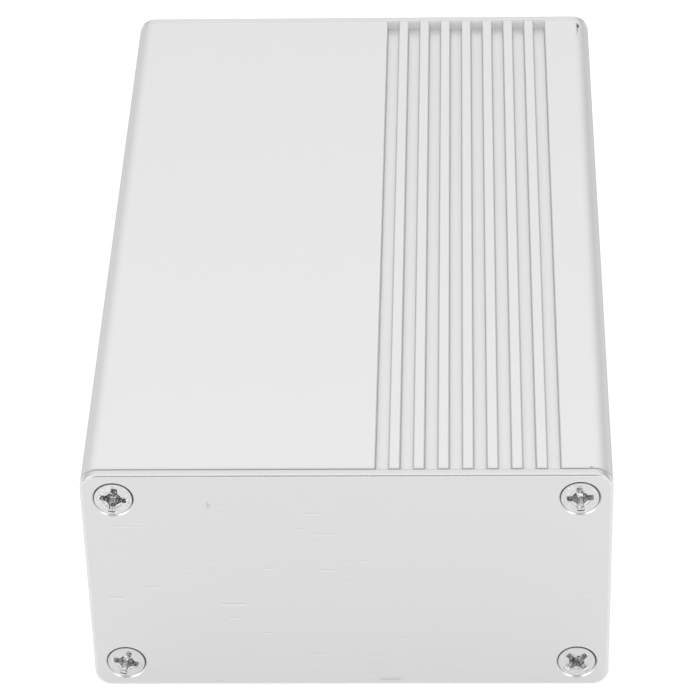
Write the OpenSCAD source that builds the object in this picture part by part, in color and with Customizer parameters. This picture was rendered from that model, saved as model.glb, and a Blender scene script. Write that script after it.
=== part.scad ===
// Extruded aluminium project box: a one-piece sleeve with cooling grooves,
// closed at each end by a flat panel on four countersunk screws.
// X is the width, Y the length with the front panel towards -Y, and Z is up.
// The origin lies under the middle of the box, on the face that it stands on.

/* [Sleeve] */
// Width of the sleeve
body_w = 76; // [60:0.5:120]
// Height of the sleeve
body_h = 40; // [36:0.5:70]
// Length of the sleeve, without the panels
body_l = 120; // [50:1:220]
// Radius of the four long outer corners
corner_r = 2.6; // [1.5:0.1:3.5]
// Thickness of the two side walls
side_wall = 2; // [1.4:0.1:2.8]
// Thickness of the floor
floor_wall = 2; // [1.4:0.1:2.8]

/* [Cooling grooves] */
// Number of grooves along the top
groove_count = 8; // [1:1:10]
// Distance from one groove to the next
groove_pitch = 3.5; // [3:0.05:4.2]
// Width of a groove between its walls
groove_w = 1.9; // [1:0.05:2.2]
// Depth of a groove
groove_depth = 1.6; // [0.8:0.05:2]
// Metal left under the grooves
groove_web = 1.4; // [1:0.1:2.4]
// Distance from the right side to the last groove
groove_inset = 7.4; // [5:0.1:14]
// Round on the lips of a groove
groove_lip_r = 0.25; // [0.1:0.05:0.3]
// Round in the bottom corners of a groove
groove_root_r = 0.25; // [0.1:0.05:0.4]

/* [Board guides] */
// Number of board slots in each side wall
slot_count = 3; // [1:1:3]
// Distance from one slot to the next
slot_pitch = 7; // [5.5:0.1:8]
// Thickness of the circuit board
board_t = 1.6; // [0.8:0.1:2]
// Room for the board in the height of its slot
slot_gap = 0.2; // [0.1:0.05:0.4]
// Thickness of a guide rib
rib_t = 1.3; // [0.8:0.1:1.5]
// Depth of a slot
slot_depth = 2.2; // [1.4:0.1:3]

/* [Screw channels] */
// Distance from the sides of the box to the screws
screw_inset_x = 4.7; // [4.2:0.05:7]
// Distance from the top and bottom of the box to the screws
screw_inset_z = 4.4; // [4:0.05:6]
// Metal around the bore of a channel
channel_wall = 1.5; // [1:0.1:1.8]
// Width of the slit that opens a channel to the inside
channel_slit = 1.5; // [1:0.1:1.8]

/* [Panels] */
// Thickness of a panel
panel_t = 1.5; // [1.2:0.1:3]
// Bevel round the outer edge of a panel
panel_edge = 0.2; // [0.1:0.05:0.4]

/* [Screws] */
// Thread diameter
screw_d = 3; // [2.6:0.1:3.2]
// Length of a screw with its head
screw_l = 8; // [6:0.5:16]
// Diameter of the head
head_d = 5.4; // [5:0.1:5.6]
// Height of the straight rim above the cone of the head
head_rim = 0.1; // [0.05:0.05:0.15]
// Depth of the head below the face of the panel
head_sink = 0.1; // [0.05:0.05:0.15]
// Gap between the cone of the head and its seat
seat_gap = 0.03; // [0.02:0.01:0.06]
// Gap around the thread in the panel, on each side
hole_gap = 0.15; // [0.1:0.05:0.3]
// Gap around the thread in its channel, on each side
thread_gap = 0.05; // [0.03:0.01:0.1]
// Width of the cross recess
recess_d = 3.9; // [3:0.1:4]
// Width of one wing of the cross
recess_wing = 0.9; // [0.6:0.05:1]
// Depth of the cross recess
recess_depth = 1.5; // [1:0.1:1.6]
// Diameter of the round core where the wings meet
recess_core = 2; // [1.6:0.05:2.4]
// Depth of the core's point below the wings
recess_tip = 0.3; // [0.1:0.05:0.5]

/* [Hidden] */
$fn = 48;

// Turn of each cross recess in degrees: low left, low right, top left, top right
front_turns = [-15, 45, -9, 4];
rear_turns = [30, -20, 5, 60];

// A cut reaches this far past the face that it opens
past = 1;

top_wall = groove_depth + groove_web;
cavity_w = body_w - 2 * side_wall;
cavity_h = body_h - floor_wall - top_wall;
slot_h = board_t + slot_gap;
first_slot_z = body_h / 2 - (slot_count - 1) * slot_pitch / 2;
channel_bore_d = screw_d + 2 * thread_gap;
channel_d = channel_bore_d + 2 * channel_wall;
// Place of the top right screw, measured from the middle of a panel
screw_x = body_w / 2 - screw_inset_x;
screw_z = body_h / 2 - screw_inset_z;
last_groove_x = body_w / 2 - groove_inset - groove_w / 2;
hole_d = screw_d + 2 * hole_gap;

// The cone of the head and its seat both slope at 45 degrees
cone_h = (head_d - screw_d) / 2;
// Diameter of the seat level with the top of the cone, seat_gap away from it across the gap
seat_d = head_d + 2 * sqrt(2) * seat_gap;
// Diameter of the seat where it opens on the panel's face
sink_d = seat_d + 2 * (head_sink + head_rim);
sink_h = (sink_d - hole_d) / 2;

silver = [0.85, 0.85, 0.86];
brushed = [0.81, 0.81, 0.82];
plated = [0.78, 0.78, 0.78];

// Shapes that the pieces share

// Mirrors a shape drawn for the top right quarter into all four quarters
module in_quarters() {
    for (left = [0, 1], low = [0, 1])
        mirror([left, 0]) mirror([0, low]) children();
}

// Repeats a shape drawn for the top right screw at all four
module at_screws() {
    in_quarters() translate([screw_x, screw_z]) children();
}

// Outline of the box seen from the front, standing on the X axis
module outline() {
    translate([0, body_h / 2]) {
        square([body_w - 2 * corner_r, body_h], center = true);
        square([body_w, body_h - 2 * corner_r], center = true);
        in_quarters() translate([body_w / 2 - corner_r, body_h / 2 - corner_r])
            intersection() {
                circle(r = corner_r);
                square(corner_r);
            }
    }
}

// Section of one cooling groove, open upwards, with its lips at height 0
module groove() {
    root_w = groove_w - 2 * groove_root_r;
    root_z = groove_root_r - groove_depth;
    translate([-groove_w / 2, root_z]) square([groove_w, past - root_z]);
    translate([-root_w / 2, -groove_depth]) square([root_w, groove_depth]);
    for (side = [-1, 1])
        translate([side * root_w / 2, root_z]) circle(r = groove_root_r);
    difference() {
        translate([-groove_w / 2 - groove_lip_r, -groove_lip_r])
            square([groove_w + 2 * groove_lip_r, groove_lip_r + past]);
        for (side = [-1, 1])
            translate([side * (groove_w / 2 + groove_lip_r), -groove_lip_r])
                circle(r = groove_lip_r);
    }
}

// Metal of one screw channel with the block that ties it into its corner
module channel_metal() {
    circle(d = channel_d);
    square([screw_inset_x, screw_inset_z]);
}

// Bore of one screw channel with the slit that opens it to the inside
module channel_opening() {
    circle(d = channel_bore_d);
    translate([-channel_d, -channel_slit / 2]) square([channel_d, channel_slit]);
}

// Pair of ribs that hold one edge of a board, on the right-hand wall
module board_guide() {
    for (side = [-1, 1])
        translate([cavity_w / 2 - slot_depth, side * (slot_h + rib_t) / 2 - rib_t / 2])
            square([slot_depth + side_wall / 2, rib_t]);
}

// Inside of the sleeve between its walls, channels and guides
module cavity() {
    difference() {
        translate([-cavity_w / 2, floor_wall]) square([cavity_w, cavity_h]);
        translate([0, body_h / 2]) at_screws() channel_metal();
        for (i = [0 : slot_count - 1], side = [0, 1])
            translate([0, first_slot_z + i * slot_pitch]) mirror([side, 0]) board_guide();
    }
}

// Section of the extruded sleeve
module section() {
    difference() {
        outline();
        cavity();
        translate([0, body_h / 2]) at_screws() channel_opening();
        for (i = [0 : groove_count - 1])
            translate([last_groove_x - i * groove_pitch, body_h]) groove();
    }
}

// One screw standing head up, with the flat top of its head at height 0
module screw(turn) {
    difference() {
        union() {
            translate([0, 0, -head_rim]) cylinder(d = head_d, h = head_rim);
            translate([0, 0, -head_rim - cone_h]) cylinder(d1 = screw_d, d2 = head_d, h = cone_h);
            translate([0, 0, -screw_l]) cylinder(d = screw_d, h = screw_l - head_rim - cone_h);
        }
        rotate([0, 0, turn]) cross_recess();
    }
}

// Cross recess: two crossed wings that taper towards the bottom, round a core that ends in a point
module cross_recess() {
    bottom_d = recess_d / 2;
    slope = (recess_d - bottom_d) / 2 / recess_depth;
    // The foot of the core is wider than the square where the wings cross
    core_foot_d = 1.5 * recess_wing;
    core_slope = (recess_core - core_foot_d) / 2 / recess_depth;
    rotate_extrude()
        polygon([
            [0, -recess_depth - recess_tip], [core_foot_d / 2, -recess_depth],
            [recess_core / 2 + core_slope * past, past], [0, past]
        ]);
    for (turn = [0, 90])
        rotate([90, 0, turn])
            linear_extrude(height = recess_wing, center = true)
                polygon([
                    [-bottom_d / 2, -recess_depth], [bottom_d / 2, -recess_depth],
                    [recess_d / 2 + slope * past, past], [-recess_d / 2 - slope * past, past]
                ]);
}

// Flat panel lying face up, with its back at height 0
module panel_blank() {
    edge_profile = [
        [0, 0], [corner_r, 0], [corner_r, panel_t - panel_edge],
        [corner_r - panel_edge, panel_t], [0, panel_t]
    ];
    inner_w = body_w - 2 * corner_r;
    inner_h = body_h - 2 * corner_r;
    translate([-inner_w / 2, -inner_h / 2]) cube([inner_w, inner_h, panel_t]);
    for (side = [0, 1]) {
        mirror([side, 0]) translate([inner_w / 2, inner_h / 2])
            rotate([90, 0, 0]) linear_extrude(height = inner_h) polygon(edge_profile);
        mirror([0, side]) translate([-inner_w / 2, inner_h / 2])
            rotate([90, 0, 90]) linear_extrude(height = inner_w) polygon(edge_profile);
    }
    in_quarters() translate([inner_w / 2, inner_h / 2])
        rotate_extrude(angle = 90) polygon(edge_profile);
}

// Seat for the cone of a screw's head, in a panel that lies face up
module countersink() {
    translate([0, 0, panel_t - sink_h])
        cylinder(d1 = hole_d, d2 = sink_d + 2 * past, h = sink_h + past);
}

// Panel lying face up with its four countersunk holes
module drilled_panel() {
    difference() {
        panel_blank();
        at_screws() {
            translate([0, 0, -past]) cylinder(d = hole_d, h = panel_t + 2 * past);
            countersink();
        }
    }
}

// Turns a shape that lies face up to face the front, its back against the sleeve
module facing_front() {
    translate([0, -body_l / 2, body_h / 2]) rotate([90, 0, 0]) children();
}

// Turns the same shape to face the rear
module facing_rear() {
    rotate([0, 0, 180]) facing_front() children();
}

// Four screws seated in a panel that lies face up
module screw_set(turns) {
    sides = [[-1, -1], [1, -1], [-1, 1], [1, 1]];
    for (i = [0 : 3])
        translate([sides[i].x * screw_x, sides[i].y * screw_z, panel_t - head_sink])
            screw(turns[i]);
}

// Pieces of the box

// Under a panel thinner than the screw heads, the countersinks run on into the channels
module sleeve() {
    color(silver) difference() {
        translate([0, body_l / 2, 0]) rotate([90, 0, 0]) linear_extrude(height = body_l) section();
        facing_front() at_screws() countersink();
        facing_rear() at_screws() countersink();
    }
}

module front_panel() {
    color(brushed) facing_front() drilled_panel();
}

module rear_panel() {
    color(brushed) facing_rear() drilled_panel();
}

module panel_screws() {
    color(plated) {
        facing_front() screw_set(front_turns);
        facing_rear() screw_set(rear_turns);
    }
}

sleeve();
front_panel();
rear_panel();
panel_screws();
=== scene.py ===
"""Looks of an extruded aluminium project box, laid out as a Blender add-on.

A grooved sleeve is closed at each end by a sheet panel on four countersunk screws. Every piece is a
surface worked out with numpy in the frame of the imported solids, in metres: X is the width, Y the length
with the front panel towards -Y, and Z is up.
"""

import math

import bpy
import numpy as np
from bpy.props import FloatProperty, FloatVectorProperty, IntProperty, PointerProperty
from mathutils import Matrix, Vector
from mathutils.geometry import tessellate_polygon


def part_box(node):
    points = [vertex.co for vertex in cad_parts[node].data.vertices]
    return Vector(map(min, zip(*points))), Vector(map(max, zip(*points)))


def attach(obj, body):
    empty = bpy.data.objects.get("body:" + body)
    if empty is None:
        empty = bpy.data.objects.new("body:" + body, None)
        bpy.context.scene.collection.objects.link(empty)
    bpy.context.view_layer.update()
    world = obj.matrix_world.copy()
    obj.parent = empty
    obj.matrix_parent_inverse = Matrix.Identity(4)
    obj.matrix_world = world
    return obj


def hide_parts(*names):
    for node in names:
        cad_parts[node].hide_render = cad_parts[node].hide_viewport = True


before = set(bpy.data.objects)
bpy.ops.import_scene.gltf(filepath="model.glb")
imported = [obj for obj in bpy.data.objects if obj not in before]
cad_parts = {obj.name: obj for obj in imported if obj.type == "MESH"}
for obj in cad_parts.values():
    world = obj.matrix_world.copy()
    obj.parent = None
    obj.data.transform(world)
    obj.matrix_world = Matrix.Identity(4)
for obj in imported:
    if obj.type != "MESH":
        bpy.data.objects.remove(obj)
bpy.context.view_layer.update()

bl_info = {
    "name": "Aluminium Project Box",
    "version": (1, 0, 0),
    "blender": (4, 5, 0),
    "location": "3D View > Sidebar > Project Box",
    "description": "Builds the sleeve, panels, screws and stage of an extruded project box",
    "category": "Add Mesh",
}

MM = 0.001
SLEEVE_LOW, SLEEVE_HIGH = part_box("sleeve")
FRONT_LOW, FRONT_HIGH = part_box("front_panel")
PHOTO_PIXELS = 700
SENSOR_WIDTH = 36.0
# Parts of a full turn
EIGHTH, QUARTER, HALF = math.pi / 4, math.pi / 2, math.pi
# Less than any length or number that is divided by or told apart here
TINY = 1e-9
# Flat strip beside a rounded edge, over which its wear fades out
MARGIN = 0.12 * MM
# Edges that turn by more than this stay sharp where a mesh has no normals of its own
SHARP_TURN = math.radians(40)
# Quarters of a panel in the order of its screws: low left, low right, top left, top right
QUARTERS = np.array([[-1, -1], [1, -1], [-1, 1], [1, 1]])


# Settings that a user would change

def length(name, description, millimetres):
    """A size in metres, written in millimetres."""
    return FloatProperty(
        name=name, description=description, default=millimetres * MM, unit="LENGTH", precision=5
    )


def angle(name, description, degrees):
    """An angle in radians, written in degrees."""
    return FloatProperty(
        name=name, description=description, default=math.radians(degrees), subtype="ANGLE"
    )


def count(name, description, value):
    """A number of equal parts."""
    return IntProperty(name=name, description=description, default=value, min=1)


def share(name, description, value):
    """A number from 0 to 1."""
    return FloatProperty(
        name=name, description=description, default=value, min=0.0, max=1.0, subtype="FACTOR"
    )


def colour(name, description, value):
    """A linear colour."""
    return FloatVectorProperty(
        name=name, description=description, default=value, min=0.0, max=1.0, size=3, subtype="COLOR"
    )


def turns(name, description, degrees):
    """An angle for each screw of a panel, low left first."""
    return FloatVectorProperty(
        name=name, description=description, size=4, unit="ROTATION",
        default=[math.radians(turn) for turn in degrees],
    )


def shares(name, description, values):
    """A number from 0 to 1 for each screw of a panel, low left first."""
    return FloatVectorProperty(
        name=name, description=description, size=4, min=0.0, max=1.0, default=values
    )


class SleeveSettings(bpy.types.PropertyGroup):
    """Section and finish of the extruded sleeve"""

    width: length("Width", "Width of the sleeve", (SLEEVE_HIGH.x - SLEEVE_LOW.x) / MM)
    height: length("Height", "Height of the sleeve", (SLEEVE_HIGH.z - SLEEVE_LOW.z) / MM)
    length: length("Length", "Length of the sleeve alone", (SLEEVE_HIGH.y - SLEEVE_LOW.y) / MM)
    corner_radius: length("Corner radius", "Radius of the four long outer corners", 2.6)
    side_wall: length("Side wall", "Thickness of the two side walls", 2.0)
    floor_wall: length("Floor", "Thickness of the floor", 2.0)
    front_round: length("Front round", "Round on its sawn front end", 0.24)
    rear_round: length("Rear round", "Round on its sawn rear end", 0.03)
    groove_count: count("Grooves", "Number of grooves along the top", 8)
    groove_pitch: length("Groove pitch", "From one groove to the next", 3.5)
    groove_width: length("Groove width", "Width of a groove between its walls", 1.9)
    groove_depth: length("Groove depth", "Depth of a groove", 1.6)
    groove_web: length("Groove web", "Metal left under the grooves", 1.4)
    groove_inset: length("Groove inset", "From the right side to the last groove", 7.4)
    lip_radius: length("Lip radius", "Round on the lips of a groove", 0.25)
    root_radius: length("Root radius", "Round in the bottom corners of a groove", 0.12)
    slot_count: count("Board slots", "Board slots in each side wall", 3)
    slot_pitch: length("Slot pitch", "From one board slot to the next", 7.0)
    slot_height: length("Slot height", "Height of a board slot", 1.8)
    rib_thickness: length("Rib", "Thickness of a guide rib", 1.3)
    slot_depth: length("Slot depth", "Depth of a board slot", 2.2)
    channel_bore: length("Channel bore", "Diameter of a screw channel", 3.1)
    channel_wall: length("Channel wall", "Metal around a screw channel", 1.5)
    channel_slit: length("Channel slit", "Slit that opens a channel to the inside", 1.5)
    tint: colour("Tint", "Colour of the clear anodised metal", (0.85, 0.85, 0.855))
    roughness: share("Roughness", "Roughness of the matte anodised skin", 0.42)


class PanelSettings(bpy.types.PropertyGroup):
    """Sizes and finish of the two sheet panels"""

    thickness: length("Thickness", "Thickness of the sheet", (FRONT_HIGH.y - FRONT_LOW.y) / MM)
    face_round: length("Face round", "Round on the outer edge of the face", 0.36)
    front_back_round: length("Front panel's back", "Round on its edge against the sleeve", 0.3)
    rear_back_round: length("Rear panel's back", "Round on its edge against the sleeve", 0.03)
    screw_inset_x: length("Screw inset across", "From the sides of the box to the screws", 4.7)
    screw_inset_z: length("Screw inset up", "From the top and bottom of the box to the screws", 4.4)
    hole: length("Hole", "Diameter of a screw hole", 3.3)
    countersink: length("Countersink", "Diameter of a countersink on the face", 6.14)
    countersink_lip: length("Countersink lip", "Round where a countersink opens on the face", 0.06)
    clean_depth: length("Clean depth", "Depth of a countersink that is free of dirt", 0.2)
    tint: colour("Tint", "Colour of the brushed metal", (0.692, 0.692, 0.697))
    roughness: share("Roughness", "Roughness of the brushed face", 0.36)


class ScrewSettings(bpy.types.PropertyGroup):
    """Sizes and finish of the countersunk screws"""

    thread: length("Thread", "Outer diameter of the thread", 3.0)
    thread_core: length("Thread core", "Diameter at the bottom of the thread", 2.5)
    thread_pitch: length("Thread pitch", "Rise of the thread in one turn", 0.5)
    screw_length: length("Length", "Length of a screw with its head", 8.0)
    head: length("Head", "Diameter of the head", 5.5)
    head_rim: length("Head rim", "Height of the rim above the cone", 0.13)
    head_sink: length("Head sink", "Depth of the head below the face of the panel", 0.1)
    head_round: length("Head round", "Round on the edge of the head", 0.1)
    recess: length("Recess", "Width of the cross recess", 3.9)
    recess_wing: length("Recess wing", "Width of one wing of the cross", 0.9)
    recess_core: length("Recess core", "Diameter of the core where the wings meet", 2.3)
    recess_depth: length("Recess depth", "Depth of the wings", 1.5)
    recess_tip: length("Recess tip", "Depth of the core's point below the wings", 0.3)
    recess_lip: length("Recess lip", "Round on the edge of the recess", 0.08)
    burr: length("Burr", "Height of the burr round the recess", 0.08)
    burr_width: length("Burr width", "Width of the burr", 0.34)
    front_turns: turns("Front turns", "Turn of each front recess", (-15, 45, -9, 4))
    front_grime: shares("Front grime", "Dirt in and round each front screw", (0.9, 1.0, 0.85, 0.55))
    front_film: shares("Front film", "Dull film in each front recess", (0.45, 0.5, 1.0, 0.3))
    front_rub: shares("Front rub", "How bright each front head is rubbed", (0.15, 0.32, 0.4, 0.35))
    rear_turns: turns("Rear turns", "Turn of each rear recess", (30, -20, 5, 60))
    rear_grime: shares("Rear grime", "Dirt in and round each rear screw", (0.8, 0.7, 0.95, 0.6))
    rear_film: shares("Rear film", "Dull film in each rear recess", (0.7, 0.6, 0.9, 0.5))
    rear_rub: shares("Rear rub", "How bright each rear head is rubbed", (0.3, 0.36, 0.2, 0.34))
    tint: colour("Tint", "Colour of the plated steel", (0.63, 0.63, 0.625))
    roughness: share("Roughness", "Roughness of the plating", 0.27)


class StageSettings(bpy.types.PropertyGroup):
    """Floor, light and camera"""

    floor_size: length("Floor size", "Side of the square floor", 6000.0)
    floor_tint: colour("Floor tint", "Colour of the floor", (0.57, 0.57, 0.57))
    floor_lift: FloatProperty(
        name="Floor lift", description="Light that whitens the floor where it is seen", default=0.61,
        min=0.0,
    )
    camera_place: FloatVectorProperty(
        name="Camera", description="Place of the camera", subtype="TRANSLATION", unit="LENGTH",
        default=(17.26 * MM, -448.05 * MM, 354.58 * MM),
    )
    camera_drop: angle("Drop", "Angle of the view below the horizon", 37.074)
    camera_yaw: angle("Yaw", "Turn of the view to the right", -2.381)
    camera_roll: angle("Roll", "Tilt of the camera about its view", -1.673)
    focal_pixels: FloatProperty(
        name="Focal length", description="Focal length in pixels of the picture", default=3517.7,
        subtype="PIXEL",
    )


class BoxSettings(bpy.types.PropertyGroup):
    """All settings of the project box"""

    sleeve: PointerProperty(type=SleeveSettings, name="Sleeve", description="Extruded sleeve")
    panel: PointerProperty(type=PanelSettings, name="Panels", description="Sheet panels at both ends")
    screw: PointerProperty(type=ScrewSettings, name="Screws", description="Countersunk screws")
    stage: PointerProperty(type=StageSettings, name="Stage", description="Floor, light and camera")


# Outlines in a plane: arcs and corners joined by straight stretches

def arc(centre, radius, start, end, steps):
    """Points round a centre from one angle to another, with normals on the right of the way they run."""
    turn = np.linspace(start, end, steps + 1)
    spoke = np.stack([np.cos(turn), np.sin(turn)], axis=1)
    return np.asarray(centre) + radius * spoke, np.sign(end - start) * spoke


def corner(across, up):
    """A sharp corner: one point, which takes its normals from the straight stretches beside it."""
    return np.array([[across, up]]), np.zeros((1, 2))


def moved(pieces, across, up):
    """The same pieces moved across and up."""
    return [(points + np.array([across, up]), normals) for points, normals in pieces]


def mirrored(pieces, across, up):
    """The same pieces flipped left to right or top to bottom, and run the other way round."""
    flip = np.array([across, up])
    return [(points[::-1] * flip, normals[::-1] * flip) for points, normals in reversed(pieces)]


def unit(vectors):
    """Vectors scaled to a length of one."""
    return vectors / np.maximum(np.linalg.norm(vectors, axis=-1, keepdims=True), TINY)


def chain(pieces):
    """Joins pieces by straight stretches into a closed outline with its metal on the left.
    Gives its points and, at each one, the normals of the stretch that arrives and the one that leaves.
    A profile is a chain too, and what uses it leaves out the stretch that closes it."""
    points = np.concatenate([points for points, normals in pieces])
    curved = np.concatenate([normals for points, normals in pieces])
    piece = np.repeat(np.arange(len(pieces)), [len(points) for points, normals in pieces])
    step = np.roll(points, -1, axis=0) - points
    straight = unit(np.stack([step[:, 1], -step[:, 0]], axis=1))
    on_arc = (piece == np.roll(piece, -1))[:, None] & (np.abs(curved).sum(axis=1, keepdims=True) > 0)
    leaving = np.where(on_arc, curved, straight)
    arriving = np.roll(np.where(on_arc, np.roll(curved, -1, axis=0), straight), 1, axis=0)
    return points, arriving, leaving


def end_profile(start, end, start_round, end_round, steps=5):
    """Profile of a sheet's edge along Y: a narrow margin of each face, a round beside it and a straight
    stretch between the rounds."""
    return chain([
        corner(-start_round - MARGIN, start),
        arc((-start_round, start + start_round), start_round, -QUARTER, 0.0, steps),
        corner(0.0, start + start_round + MARGIN),
        corner(0.0, end - end_round - MARGIN),
        arc((-end_round, end - end_round), end_round, 0.0, QUARTER, steps),
        corner(-end_round - MARGIN, end),
    ])


# Surfaces and their meshes

class Skin:
    """Surfaces of one piece, gathered as arrays until they become its mesh."""

    def __init__(self):
        self.points, self.marks, self.faces, self.normals = [], [], [], []

    def add_points(self, points, **marks):
        """Adds points with the values that the material reads there, and gives their numbers."""
        start = sum(map(len, self.points))
        self.points.append(points)
        self.marks.append(marks)
        return np.arange(start, start + len(points))

    def add_faces(self, faces, normals=None):
        """Adds faces of one corner count. Either all have a normal for each corner, or none has."""
        self.faces.append(faces)
        if normals is not None:
            self.normals.append(normals.reshape(-1, 3))

    def build(self, name, material):
        """Makes the mesh and its object, at the origin."""
        mesh = bpy.data.meshes.new(name)
        faces = [face for block in self.faces for face in block.tolist()]
        mesh.from_pydata(np.concatenate(self.points), [], faces, shade_flat=False)
        for mark in sorted(set().union(*self.marks)):
            blocks = [
                marks.get(mark, np.zeros(len(points))) for points, marks in zip(self.points, self.marks)
            ]
            values = np.concatenate(blocks).astype(np.float32)
            mesh.attributes.new(mark, "FLOAT", "POINT").data.foreach_set("value", values)
        if self.normals:
            mesh.normals_split_custom_set(np.concatenate(self.normals))
        else:
            mesh.set_sharp_from_angle(angle=SHARP_TURN)
        return place(name, mesh, material)


def place(name, mesh, material):
    """Puts a mesh into the scene with its material."""
    mesh.materials.append(material)
    piece = bpy.data.objects.new(name, mesh)
    bpy.context.scene.collection.objects.link(piece)
    return piece


def quads_between(rings):
    """Quads between the rows of a grid of point numbers, where each row closes on itself."""
    ahead = np.roll(rings, -1, axis=1)
    return np.stack([rings[:-1], rings[1:], ahead[1:], ahead[:-1]], axis=-1).reshape(-1, 4)


def carry(skin, outline, profile, bend=None, **marks):
    """Surface of a profile carried along a closed outline in the XZ plane.

    Its point is the outline's point, moved out along the outline's normal by the profile's first
    coordinate and set along Y by the second. Its normal mixes the outline's normal and Y in the same
    way. bend, where given, moves the points and tilts the normals further. Gives the numbers of the
    points, one row for each point of the profile.
    """
    path, arriving, leaving = outline
    shape, shape_in, shape_out = profile
    rows, columns = len(shape), len(path)

    def with_y(flat, along):
        """Vectors in the XZ plane for every row and column, given a Y part that each row shares."""
        along = np.broadcast_to(along[:, None], flat.shape[:2])
        return np.stack([flat[..., 0], along, flat[..., 1]], axis=-1)

    def corner_normals(shape_normal, path_normal):
        """Normals of one corner of every face."""
        return with_y(shape_normal[:, None, :1] * path_normal[None], shape_normal[:, 1])

    flat = path[None] + shape[:, None, :1] * unit(arriving + leaving)[None]
    points = with_y(flat, shape[:, 1]).reshape(-1, 3)
    quads = quads_between(np.arange(rows * columns).reshape(rows, columns))
    ahead = np.roll(arriving, -1, axis=0)
    normals = np.stack([
        corner_normals(shape_out[:-1], leaving), corner_normals(shape_in[1:], leaving),
        corner_normals(shape_in[1:], ahead), corner_normals(shape_out[:-1], ahead),
    ], axis=2).reshape(-1, 4, 3)
    if bend is not None:
        points, normals, bent = bend(points, quads, normals)
        marks.update({name: values.reshape(rows, columns) for name, values in bent.items()})
    numbers = skin.add_points(points, **{
        name: np.broadcast_to(values, (rows, columns)).reshape(-1) for name, values in marks.items()
    })
    skin.add_faces(numbers[quads], normals)
    return numbers.reshape(rows, columns)


def cap(skin, rings, facing):
    """Flat face between an outer ring of points and the rings inside it, facing -1 or 1 along Y."""
    points = np.concatenate(skin.points)
    triangles = np.array(tessellate_polygon([points[ring][:, [0, 2]].tolist() for ring in rings]))
    faces = np.concatenate(rings)[triangles]
    edge = points[faces[:, 1:]] - points[faces[:, :1]]
    turned = np.cross(edge[:, 0], edge[:, 1])[:, 1] * facing < 0
    faces[turned] = faces[turned, ::-1]
    normals = np.zeros((len(faces), 3, 3))
    normals[..., 1] = facing
    skin.add_faces(faces, normals)


# Shader nodes: each output is wrapped as a value, so that sums of values read as sums

class Value:
    """Output of a shader node. Each step of a sum with it is one more node."""

    def __init__(self, socket):
        self.socket = socket
        self.tree = socket.id_data

    def math(self, operation, *others):
        """Output of a Math node that starts from this value."""
        inputs = dict(enumerate((self, *others)))
        return output(self.tree, "ShaderNodeMath", inputs, operation=operation)

    def vector(self, operation, other, name="Vector"):
        """Output of a Vector Math node that starts from this vector."""
        second = "Scale" if operation == "SCALE" else 1
        inputs = {0: self, second: other}
        return output(self.tree, "ShaderNodeVectorMath", inputs, name, operation=operation)

    def ramp(self, low, high, to_low=0.0, to_high=1.0):
        """This value eased from one range to another and kept inside it."""
        inputs = {"Value": self, "From Min": low, "From Max": high, "To Min": to_low, "To Max": to_high}
        return output(self.tree, "ShaderNodeMapRange", inputs, "Result", interpolation_type="SMOOTHSTEP")

    def __add__(self, other):
        return self.math("ADD", other)

    def __sub__(self, other):
        return self.math("SUBTRACT", other)

    def __mul__(self, other):
        return self.math("MULTIPLY", other)

    def __truediv__(self, other):
        return self.math("DIVIDE", other)


def wire(node, inputs):
    """Sets inputs of a node to constants, or joins them to values of other nodes."""
    for name, given in inputs.items():
        if isinstance(given, Value):
            node.id_data.links.new(given.socket, node.inputs[name])
        else:
            node.inputs[name].default_value = given


def new_node(tree, kind, inputs=None, **settings):
    """A new node with its settings and inputs."""
    node = tree.nodes.new(kind)
    for name, setting in settings.items():
        setattr(node, name, setting)
    wire(node, inputs or {})
    return node


def output(tree, kind, inputs=None, name=0, **settings):
    """One output of a new node."""
    return Value(new_node(tree, kind, inputs, **settings).outputs[name])


def outputs(node):
    """All outputs of a node, by name."""
    return {socket.name: Value(socket) for socket in node.outputs}


def noise(vector, scale, detail=2.0, rough=0.5):
    """Soft noise around 0.5."""
    inputs = {"Vector": vector, "Scale": scale, "Detail": detail, "Roughness": rough}
    return output(vector.tree, "ShaderNodeTexNoise", inputs, "Fac")


def weighted(first, second, part):
    """The sum of two values of which the first makes up a part from 0 to 1 and the second the rest."""
    return first.math("MULTIPLY_ADD", part, second * (1.0 - part))


def around(tone, middle, spread):
    """A tone around 0.5 moved to lie around another middle, within a spread."""
    return tone.math("MULTIPLY_ADD", spread, middle - spread / 2)


def grey(level):
    """A linear grey."""
    return (level, level, level, 1.0)


# Node groups that the finishes share

ZERO, ONES = (0.0, 0.0, 0.0), (1.0, 1.0, 1.0)
# How far the painted highlight of a scratch lies below it, in widths
HIGHLIGHT_DROP = 1.5


def drawn_lines(given):
    """Fine lines in the metal: noise stretched along one axis, in two sizes."""
    stretched = given["Position"].vector("MULTIPLY", given["Stretch"])
    fine = noise(stretched, scale=1.0, detail=3.0, rough=0.6)
    broad = noise(stretched, scale=0.17)
    return {"Tone": weighted(fine, broad, part=0.6), "Height": fine}


def metal_grain(given):
    """Fine matte grain of etched or plated metal, with a slow drift of tone over the surface."""
    fine = noise(given["Position"], given["Scale"], detail=3.0, rough=0.65)
    drift = noise(given["Position"], scale=0.05)
    return {"Tone": weighted(fine, drift, part=0.35), "Height": fine}


def edge_wear(given):
    """Where edges have rubbed bright: the edge value of the mesh, broken up by noise."""
    broken = noise(given["Position"], scale=1.4, detail=4.0, rough=0.7)
    level = given["Edge"] * given["Amount"] + (broken - 0.5)
    return {"Mask": level.ramp(0.25, 0.6)}


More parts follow.
